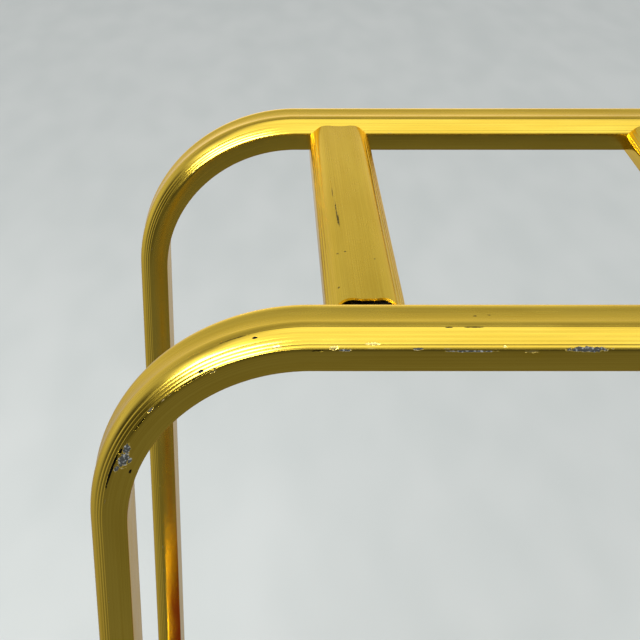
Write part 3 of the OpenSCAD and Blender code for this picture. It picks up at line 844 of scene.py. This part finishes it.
@dataclass
class Slat:
    """One slat across the top, the same tube a little thinner, its right end cut a little short."""

    node: str
    short: float = 3.8 * MM
    lip_wave: float = 0.25 * MM
    waves: float = 700.0
    ease_end: float = 20 * MM
    ease_over: float = 9 * MM
    finish: AnodisedGold = field(default_factory=lambda: AnodisedGold("gold_anodised_tube"))

    @property
    def start(self) -> float:
        """Run coordinate of the slat's right end, which sets each slat's pattern apart."""
        return 0.7 * int(self.node.split("_")[1])

    def cut(self, outline: Array) -> Array:
        """How far the right end is cut back at each outline point.

        The cut is deepest over the crown, with a small wave along its lip, and eases out by a
        smooth step over the shoulders, so the side walls still reach the hoop.

        Args:
            outline: Points (across, above the inner face).

        Returns:
            Depths in metres.
        """
        across = np.abs(outline[:, 0])
        ease = np.clip((self.ease_end - across) / self.ease_over, 0, 1)
        crest = np.where(outline[:, 1] > outline[:, 1].max() / 2, ease ** 2 * (3 - 2 * ease), 0.0)
        return crest * (self.short + self.lip_wave * np.sin(outline[:, 0] * self.waves + 0.8))

    def build(self) -> Object:
        """Builds the slat in the CAD slat's place, its spine straight from right to left.

        Returns:
            The slat.
        """
        low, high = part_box(self.node)
        section = DTube(high.x - low.x, high.z - low.z)
        stations = np.linspace(low.y, high.y, 9)
        spine = np.stack([np.full(9, (low.x + high.x) / 2), stations, np.full(9, low.z)], -1)
        out = np.tile([0.0, 0.0, 1.0], (9, 1))
        outline = section.outline()[0]
        shift = np.zeros((len(stations), len(outline), 3))
        shift[0, :, 1] = self.cut(outline)
        piece = swept(self.node + "_tube", section, spine, out, np.array([1.0, 0, 0]), self.start, shift)
        return coat(settle(piece, self.node), self.finish)


@dataclass
class Hoops:
    """The two hoops, the slats between them and what holds the slats."""

    bend: float = 112 * MM
    neutral: float = 12.25 * MM

    def angle(self, degrees: float) -> float:
        """Run coordinate of a place on the left bend, that many degrees above its start."""
        return -np.radians(90 - degrees) * (self.bend + self.neutral)

    def marks(self) -> tuple[Mark, ...]:
        """Where the right hoop is chipped and rubbed, and its dents painted with highlights, all near its
        left bend.
        """
        rim, edge, wall = 15.0 * MM, 28.8 * MM, 32.5 * MM
        dirt, flake, dent = Damage.DIRT, Damage.FLAKE, Damage.DENT
        return (
            Mark(self.angle(28), wall - 1.5 * MM, 8 * MM, 4.4 * MM, flake),
            Mark(self.angle(24.5), wall, 13 * MM, 6.5 * MM, flake),
            Mark(self.angle(21), wall - 1.8 * MM, 5 * MM, 3.0 * MM, flake),
            Mark(self.angle(25), wall + 3.5 * MM, 6 * MM, 2.4 * MM, flake),
            Mark(self.angle(26.5), edge - 0.3 * MM, 6 * MM, 1.7 * MM, dirt),
            Mark(self.angle(20), edge - 1.0 * MM, 28 * MM, 2.0 * MM, dirt),
            Mark(self.angle(21.5), wall + 6.5 * MM, 4 * MM, 1.7 * MM, dirt),
            Mark(self.angle(37), edge, 13 * MM, 0.8 * MM, dirt),
            Mark(self.angle(42), edge - 0.8 * MM, 6 * MM, 1.4 * MM, flake),
            Mark(self.angle(58), edge, 30 * MM, 0.9 * MM, dirt),
            Mark(self.angle(60), edge - 2.2 * MM, 3.5 * MM, 2.4 * MM, dirt),
            Mark(self.angle(63), wall - 2.5 * MM, 5 * MM, 1.2 * MM, dent),
            Mark(self.angle(70), rim, 20 * MM, 0.7 * MM, dirt),
            Mark(self.angle(76), rim + 3.2 * MM, 3.2 * MM, 1.9 * MM, dirt),
            Mark(self.angle(81), edge - 2.4 * MM, 6 * MM, 2.2 * MM, dent),
            Mark(0.004, edge + 1.2 * MM, 7 * MM, 1.2 * MM, dirt),
            Mark(0.013, edge - 0.6 * MM, 6 * MM, 2.6 * MM, dent),
            Mark(0.020, edge + 0.8 * MM, 8 * MM, 1.6 * MM, flake),
            Mark(0.036, edge - 3.0 * MM, 9 * MM, 1.8 * MM, dent),
            Mark(0.062, edge, 7 * MM, 1.6 * MM, flake),
            Mark(0.080, rim + 0.2 * MM, 5 * MM, 0.8 * MM, dirt),
            Mark(0.095, rim, 12 * MM, 0.9 * MM, dirt),
            Mark(0.092, edge + 1.4 * MM, 34 * MM, 1.2 * MM, flake),
            Mark(0.0975, 0.8 * MM, 2.6 * MM, 1.5 * MM, dirt),
            Mark(0.106, -0.4 * MM, 2.0 * MM, 1.1 * MM, dirt),
            Mark(0.112, edge - 1.4 * MM, 2.2 * MM, 1.6 * MM, dent),
            Mark(0.128, edge + 1.4 * MM, 8 * MM, 1.4 * MM, dent),
            Mark(0.160, edge + 0.4 * MM, 27 * MM, 3.6 * MM, flake),
        )

    def scratches(self) -> tuple[Mark, ...]:
        """Fine scratches along the first slat, left of its middle, and a few specks."""
        first = Slat("slat_1").start
        return (
            Mark(first + 0.143, -12.0 * MM, 44 * MM, 0.8 * MM),
            Mark(first + 0.128, -11.2 * MM, 26 * MM, 0.9 * MM),
            Mark(first + 0.182, -13.0 * MM, 20 * MM, 0.5 * MM),
            Mark(first + 0.074, -9.6 * MM, 2.4 * MM, 1.8 * MM),
            Mark(first + 0.072, -15.0 * MM, 1.8 * MM, 1.6 * MM),
            Mark(first + 0.062, 9.0 * MM, 1.6 * MM, 1.4 * MM),
            Mark(first + 0.021, -17.0 * MM, 2.2 * MM, 1.6 * MM),
        )

    def build(self) -> list[Object]:
        """Builds the hoops, the slats and their fixings.

        Returns:
            The pieces.
        """
        worn = AnodisedGold("gold_anodised_tube_chipped", marks=self.marks(), wear=1.2)
        made = [Hoop("hoop_right", finish=worn).build(), Hoop("hoop_left").build()]
        names = sorted(n for n in frame["nodes"] if n.startswith("slat_") and n[5:].isdigit())
        scratched = AnodisedGold("gold_anodised_tube_scratched", marks=self.scratches())
        made.append(Slat(names[0], finish=scratched).build())
        made += [Slat(name).build() for name in names[1:]]
        mill = Metal("mill_aluminium", "#C4C6C8", "#A7AAAD", 0.34, (60.0, 900.0, 900.0))
        for node in ("slat_spigots", "spigot_rivets", "leg_stubs"):
            made.append(coat(frame["nodes"][node], mill))
        for node in ("slat_screws", "leg_bolts"):
            made.append(coat(softened(node, 0.25 * MM), ZINC))
        return made


# ---------------------------------------------------------------------------------------------
# Deck
# ---------------------------------------------------------------------------------------------


@dataclass
class RimPath:
    """Path round the deck: a rectangle with round corners, from which pieces are set out."""

    half_x: float
    half_y: float
    radius: float
    corner_steps: int = 20
    side_steps: int = 10

    def carried(self, profile: Array) -> tuple[Array, Array]:
        """Carries a closed profile round the path.

        A point is the corner's centre plus the outward direction times the corner radius plus the
        profile's offset, at the profile's height. Along a side the direction stays the same.

        Args:
            profile: Points (offset outwards, height).

        Returns:
            Points, rows x columns x 3, and run coordinates.
        """
        centres, ways = [], []
        corner = np.array([self.half_x - self.radius, self.half_y - self.radius])
        for quarter in range(4):
            sign = np.array([1 if quarter in (0, 3) else -1, 1 if quarter < 2 else -1])
            way = arc(90 * quarter, 90 * quarter + 90, self.corner_steps)
            centres.append(np.tile(corner * sign, (len(way), 1)))
            ways.append(way)
            after = corner * [1 if (quarter + 1) % 4 in (0, 3) else -1, 1 if (quarter + 1) % 4 < 2 else -1]
            share = np.linspace(0, 1, self.side_steps + 1)[1:-1, None]
            centres.append(corner * sign * (1 - share) + after * share)
            ways.append(np.tile(way[-1], (len(share), 1)))
        centre, way = np.concatenate(centres), np.concatenate(ways)
        flat = centre[:, None] + way[:, None] * (self.radius + profile[None, :, :1])
        high = np.broadcast_to(profile[None, :, 1:], flat.shape[:2] + (1,))
        points = np.concatenate([flat, high], -1)
        along, away = lengths(centre + way * self.radius, True), lengths(profile, True)
        return points, np.stack(np.broadcast_arrays(along[:, None], away[None]), -1)


@dataclass
class Carpet:
    """Cut-pile carpet laid on the board, cut out at its four corners round the leg collars."""

    node: str = "deck_carpet"
    edge_r: float = 2.6 * MM
    wave: float = 0.35 * MM
    rings: int = 56
    notch_x: float = 53 * MM
    notch_y: float = 84 * MM
    finish: CutPile = field(default_factory=lambda: CutPile("red_cut_pile_carpet"))

    def outline(self, high: Array) -> Array:
        """Outline of the cut: a rectangle with a rectangular notch at each corner.

        Args:
            high: Half length and half width of the carpet.

        Returns:
            Points about 6 mm apart, with the corners slightly rounded.
        """
        x, y = high
        nx, ny = x - self.notch_x, y - self.notch_y
        quarter = np.array([[x, 0], [x, ny], [nx, ny], [nx, y], [0, y]])
        line = np.concatenate([quarter[:-1], quarter[::-1][:-1] * [-1, 1], -quarter[:-1],
                               quarter[::-1][:-1] * [1, -1]])
        away = lengths(line, True)
        spots = np.arange(0, away[-1], away[-1] / round(away[-1] / (5 * MM)))
        closed = np.concatenate([line, line[:1]])
        sharp = np.stack([np.interp(spots, away, closed[:, k]) for k in (0, 1)], -1)
        return (np.roll(sharp, 1, 0) + 2 * sharp + np.roll(sharp, -1, 0)) / 4

    def build(self) -> Object:
        """Builds the carpet as a closed sheet.

        Rows are the outline shrunk towards the middle; the outer rows go down a quarter circle of
        the edge's radius, and the underside is flat. The top waves by two crossed sines.

        Returns:
            The carpet.
        """
        low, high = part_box(self.node)
        outline = self.outline(np.array([high.x, high.y]))
        away = np.linalg.norm(outline, axis=1)
        shares = np.linspace(0, 1, self.rings) ** 0.8
        inset = self.edge_r / away
        rows = [np.concatenate([outline * (shares * (1 - inset[:, None]))[:, k:k + 1],
                                np.full((len(outline), 1), high.z - self.wave)], -1)
                for k in range(self.rings)]
        for cos, sin in arc(90, 0, 4)[1:]:
            shrink = (1 - inset * (1 - cos))[:, None]
            level = high.z - self.wave - self.edge_r * (1 - sin)
            rows.append(np.concatenate([outline * shrink, np.full((len(outline), 1), level)], -1))
        for share in (1.0, 0.6, 0.0):
            rows.append(np.concatenate([outline * share, np.full((len(outline), 1), low.z)], -1))
        points = np.stack(rows)
        top = points[:self.rings]
        top[..., 2] += self.wave * np.sin(top[..., 0] * 21 + 0.6) * np.sin(top[..., 1] * 33 + 1.1)
        points[..., 2] = np.clip(points[..., 2], low.z, high.z)
        piece = coat(settle(surface("carpet", points, (False, True), crease=70), self.node), self.finish)
        return piece


@dataclass
class Deck:
    """The plywood board, its carpet, gold edge trim, rubber bumper and the legs' collars."""

    board_r: float = 40 * MM
    trim: float = 2 * MM
    lip: float = 12 * MM
    ribs: tuple[float, ...] = (-3 * MM, -5.5 * MM, -8 * MM)
    bumper_deep: float = 14 * MM
    bumper_round: float = 15.4 * MM
    grooves: int = 3

    def rim(self) -> RimPath:
        """Path along the board's edge."""
        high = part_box("deck_board")[1]
        return RimPath(high.x, high.y, self.board_r)

    def build_trim(self) -> Object:
        """Builds the edge trim: an L-shaped extrusion with three fine grooves along its lip.

        The lip's top sinks by a narrow bell curve at each groove.

        Returns:
            The trim.
        """
        low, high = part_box("deck_trim")
        under = high.z - self.trim
        offset = np.linspace(self.trim * 0.5, -self.lip + 0.8 * MM, 70)
        sunk = sum(np.exp(-((offset - rib) / (0.35 * MM)) ** 2) for rib in self.ribs) * 0.35 * MM
        top = np.stack([offset, high.z - sunk], -1)
        corner = np.array([self.trim * 0.5, high.z - self.trim * 0.5]) + self.trim * 0.5 * arc(0, 90, 6)
        nose = np.array([-self.lip + 0.8 * MM, high.z - 0.8 * MM]) + 0.8 * MM * arc(90, 180, 5)
        rest = np.array([[-self.lip, under], [0, under], [0, low.z], [self.trim, low.z]])
        profile = np.concatenate([corner, top[1:-1], nose, rest])
        points, run = self.rim().carried(profile)
        piece = surface("edge_trim", points, (True, True), run, crease=50)
        return coat(settle(piece, "deck_trim"), AnodisedGold("gold_anodised_trim", edge=0.2, wear=0.8))

    def build_bumper(self) -> Object:
        """Builds the bumper: a rounded rubber strip with shallow grooves along its nose.

        The nose is an arc whose radius falls by a narrow bell curve at each groove.

        Returns:
            The bumper.
        """
        low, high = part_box("deck_bumper")
        tall = high.z - low.z
        middle = (high.z + low.z) / 2
        reach = np.degrees(np.arcsin((tall / 2 - 1 * MM) / self.bumper_round))
        angle = np.linspace(-reach, reach, 61)
        spots = np.linspace(-0.5, 0.5, self.grooves) * reach
        sunk = sum(np.exp(-((angle - spot) / 2.6) ** 2) for spot in spots) * 0.9 * MM
        radius, turn = self.bumper_round - sunk, np.radians(angle)
        centre = self.trim + self.bumper_deep - self.bumper_round
        nose = np.stack([centre + radius * np.cos(turn), middle + radius * np.sin(turn)], -1)
        back = nose[0, 0] - 1 * MM
        profile = np.concatenate([[[self.trim, low.z], [back, low.z], [back + 0.7 * MM, low.z + 0.3 * MM]],
                                  nose, [[back + 0.7 * MM, high.z - 0.3 * MM], [back, high.z],
                                         [self.trim, high.z]]])
        points, run = self.rim().carried(profile)
        piece = surface("bumper", points, (True, True), run, crease=50)
        return coat(settle(piece, "deck_bumper"), BLACK_RUBBER)

    def build(self) -> list[Object]:
        """Builds and dresses the deck.

        Returns:
            The pieces.
        """
        cast = AnodisedGold("gold_anodised_plate", Pattern.SPACE)
        made = [self.build_trim(), self.build_bumper(), Carpet().build(),
                coat(softened("leg_collars", 1.0 * MM, 3), cast),
                coat(softened("collar_screws", 0.2 * MM), cast),
                coat(frame["nodes"]["deck_board"], BirchPlywood("sanded_birch_plywood")),
                coat(frame["nodes"]["deck_screws"], ZINC)]
        coating = PowderCoat("black_powder_coat")
        for node in ("side_rails", "cross_rails"):
            made.append(coat(softened(node, 1.2 * MM, 3), coating))
        return made


# ---------------------------------------------------------------------------------------------
# Casters
# ---------------------------------------------------------------------------------------------


@dataclass
class Wheel:
    """One wheel: a grey rubber tyre on a moulded hub with a steel bush."""

    end: End
    side: Side
    shoulder_r: float = 3 * MM
    crown_r: float = 30 * MM
    steps: int = 96

    def name(self, part: str) -> str:
        """Name of one of the wheel's CAD nodes."""
        return f"{part}_{self.end.value}_{self.side.value}"

    def tyre(self) -> Object:
        """Builds the tyre as a turned profile.

        The tread is an arc of the crown radius with a hair-thin mould line in its middle; round
        shoulders lead into side walls with two fine raised rings.

        Returns:
            The tyre.
        """
        low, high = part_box(self.name("tyre"))
        outer, half = (high.z - low.z) / 2, (high.y - low.y) / 2
        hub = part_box(self.name("hub"))
        inner = (hub[1].z - hub[0].z) / 2
        centre = outer - self.crown_r
        across = np.linspace(-half + self.shoulder_r, half - self.shoulder_r, 41)
        tread = centre + np.sqrt(self.crown_r ** 2 - across ** 2) - 0.25 * MM
        tread += 0.25 * MM * np.exp(-(across / (0.5 * MM)) ** 2)
        edge = tread[-1] - self.shoulder_r * 0.8
        ease = arc(0, 90, 6)[::-1]
        shoulder = np.stack([half - self.shoulder_r + self.shoulder_r * ease[:, 0],
                             edge + (tread[-1] - edge) * ease[:, 1]], -1)
        deep = np.linspace(edge, inner + 1 * MM, 25)[1:]
        swell = sum(np.exp(-((deep - at) / (0.7 * MM)) ** 2)
                    for at in (inner + 4 * MM, edge - 2.5 * MM)) * 0.5 * MM
        wall = np.stack([half - 0.5 * MM * np.clip((edge - deep) / (1 * MM), 0, 1) + swell, deep], -1)
        right = np.concatenate([shoulder[1:], wall, [[half - 1.5 * MM, inner]]])
        right[:, 0] = np.minimum(right[:, 0], half)
        profile = np.concatenate([np.stack([across, tread], -1), right, right[::-1] * [-1, 1]])
        turn = arc(0, 360, self.steps)[:-1]
        middle = (low + high) / 2
        points = np.stack(np.broadcast_arrays(
            middle.x + profile[None, :, 1] * turn[:, :1], middle.y + profile[None, :, 0],
            middle.z + profile[None, :, 1] * turn[:, 1:]), -1)
        piece = surface(self.name("tyre") + "_rubber", points, (True, True), crease=50)
        return coat(settle(piece, self.name("tyre")), GREY_RUBBER)

    def build(self) -> list[Object]:
        """Builds the tyre and dresses the hub, bush and axle.

        Returns:
            The pieces.
        """
        return [self.tyre(), coat(softened(self.name("hub"), 0.8 * MM), HUB_PLASTIC),
                coat(frame["nodes"][self.name("bush")], ZINC),
                coat(softened(self.name("axle"), 0.5 * MM), ZINC)]


@dataclass
class Caster:
    """One caster's ironwork, swivel with a brake or fixed."""

    end: End
    side: Side
    rounding: float = 0.8 * MM

    def build(self) -> list[Object]:
        """Dresses the plates, fork and brake.

        Returns:
            The pieces.
        """
        tail = "_" + self.side.value
        if self.end is End.FRONT:
            return [coat(softened("fixed_fork" + tail, self.rounding), ZINC)]
        made = [coat(softened(node + tail, self.rounding), ZINC)
                for node in ("swivel_fork", "swivel_plate")]
        made.append(coat(softened("kingpin" + tail, 0.4 * MM), ZINC))
        made.append(coat(softened("brake_pedal" + tail, 1.0 * MM, 3),
                         PowderCoat("red_powder_coat", "#A81C14", "#8C1A14", 0.35)))
        made.append(coat(frame["nodes"]["brake_pad" + tail], BLACK_RUBBER))
        for node in ("swivel_balls", "brake_pin"):
            made.append(coat(frame["nodes"][node + tail], ZINC))
        return made


@dataclass
class Casters:
    """All four casters with their wheels and fixings."""

    def build(self) -> list[Object]:
        """Builds every wheel and dresses every caster.

        Returns:
            The pieces.
        """
        made = []
        for end in End:
            for side in Side:
                made += Wheel(end, side).build() + Caster(end, side).build()
        made.append(coat(softened("caster_bolts", 0.4 * MM), ZINC))
        made.append(coat(frame["nodes"]["caster_nuts"], ZINC))
        return made


# ---------------------------------------------------------------------------------------------
# Studio
# ---------------------------------------------------------------------------------------------


# Light from each elevation in degrees, and each soft box's name, place, aim, size and watts.
DOME_STRENGTH = 2.0
BACK_LIGHT = ((-90, 0.30), (-25, 0.45), (-9, 0.95), (0, 1.45), (7, 1.25), (13, 0.84), (20, 0.68),
              (28, 0.54), (40, 0.36), (52, 0.42), (64, 1.1), (76, 1.5), (90, 1.45))
SIDE_LIGHT = ((-90, 0.30), (-25, 0.45), (-9, 0.62), (0, 0.72), (13, 0.60), (28, 0.52), (40, 0.36),
              (52, 0.42), (64, 1.0), (76, 1.4), (90, 1.45))
FRONT_LIGHT = ((-90, 0.30), (-45, 0.2), (-26, 0.17), (-12, 0.09), (0, 0.04), (12, 0.05), (23, 0.12),
               (30, 0.60), (36, 1.35), (43, 1.6), (52, 1.12), (62, 1.6), (74, 1.15), (90, 1.5))
SOFT_BOXES = (
    ("left_box", (-2.0, -2.3, 2.7), (-0.5, -0.2, 0.9), (2.2, 1.1), 150.0),
)


@dataclass
class Studio:
    """Floor, soft light and camera."""

    floor_half: float = 40.0
    backdrop: str = "#9FA2A2"
    lens: float = 73.56
    shift_x: float = 0.0898
    camera_at: tuple[float, float, float] = (-0.4631, -0.8831, 1.3066)
    camera_tilt: float = 63.13
    finish: PaleFloor = field(default_factory=lambda: PaleFloor("pale_floor"))

    def build_floor(self) -> Object:
        """Lays the plain floor under the wheels."""
        spots = np.linspace(-self.floor_half, self.floor_half, 9)
        x, y = np.meshgrid(spots, spots, indexing="xy")
        floor = surface("floor", np.stack([x, y, np.zeros_like(x)], -1))
        coat(floor, self.finish)
        floor.visible_glossy = False
        return floor

    def build_world(self) -> None:
        """Makes a soft studio dome: bright overhead and low behind, dim low in front and aside."""
        world = bpy.data.worlds.new("studio_dome")
        bpy.context.scene.world = world
        graph = Graph(world)
        way = graph.add("SeparateXYZ", {0: graph.add("TexCoord").outputs["Generated"]})
        height = graph.math("MULTIPLY_ADD", way.outputs["Z"], 0.5, 0.5)
        aside = graph.spread(graph.math("ABSOLUTE", way.outputs["X"]), 0.12, 0.42)
        back = graph.blend(aside, self.ramp(graph, height, BACK_LIGHT),
                           self.ramp(graph, height, SIDE_LIGHT))
        front = self.ramp(graph, height, FRONT_LIGHT)
        share = graph.spread(way.outputs["Y"], -0.25, 0.25)
        light = graph.blend(share, front, back)
        light = graph.blend(graph.add("LightPath").outputs["Is Camera Ray"], light,
                            linear(self.backdrop))
        ground = next(n for n in graph.tree.nodes if n.type == "BACKGROUND")
        graph.link(ground, {"Color": light, "Strength": DOME_STRENGTH})

    def ramp(self, graph: Graph, value: Node, stops: tuple[tuple[float, float], ...]) -> Node:
        """Adds a grey ramp over the height of a direction.

        Args:
            graph: Graph that the node goes to.
            value: Height of the direction, 0 straight down and 1 straight up.
            stops: Elevations in degrees with the light from each.

        Returns:
            The ramp node.
        """
        node = graph.add("ValToRGB", {0: value})
        points = node.color_ramp.elements
        while len(points) < len(stops):
            points.new(0.5)
        for point, (elevation, light) in zip(points, stops):
            point.position = 0.5 + 0.5 * float(np.sin(np.radians(elevation)))
            level = light / DOME_STRENGTH
            point.color = (level, level, level * 1.01, 1.0)
        return node

    def build_lights(self) -> None:
        """Hangs the soft boxes."""
        for name, spot, aim, size, power in SOFT_BOXES:
            lamp = bpy.data.lights.new(name, "AREA")
            lamp.shape = "RECTANGLE"
            lamp.size, lamp.size_y = size
            lamp.energy = power
            holder = bpy.data.objects.new(name, lamp)
            bpy.context.scene.collection.objects.link(holder)
            holder.location = spot
            way = np.array(spot) - np.array(aim)
            holder.rotation_euler = (float(np.arctan2(np.hypot(way[0], way[1]), way[2])), 0.0,
                                     float(np.arctan2(way[0], -way[1])))

    def build_camera(self) -> None:
        """Stands the camera at the left front corner, looking 27 degrees down across the top."""
        lens = bpy.data.cameras.new("camera")
        lens.sensor_width = 36.0
        lens.lens = self.lens
        lens.shift_x = self.shift_x
        camera = bpy.data.objects.new("camera", lens)
        bpy.context.scene.collection.objects.link(camera)
        camera.location = self.camera_at
        camera.rotation_euler = (float(np.radians(self.camera_tilt)), 0.0, 0.0)
        bpy.context.scene.camera = camera

    def build(self) -> None:
        """Builds the whole studio."""
        bpy.context.scene.view_settings.view_transform = "Standard"
        self.build_camera()
        self.build_floor()
        self.build_world()
        self.build_lights()


def main() -> None:
    """Builds the cart's looks and reports each piece."""
    logging.basicConfig(level=logging.INFO, format="%(message)s")
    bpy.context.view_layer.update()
    Studio().build()
    for group in (Hoops(), Deck(), Casters()):
        for piece in group.build():
            LOG.info("%s: %s, %d faces", type(group).__name__, piece.name, len(piece.data.polygons))


if __name__ == "__main__":
    main()
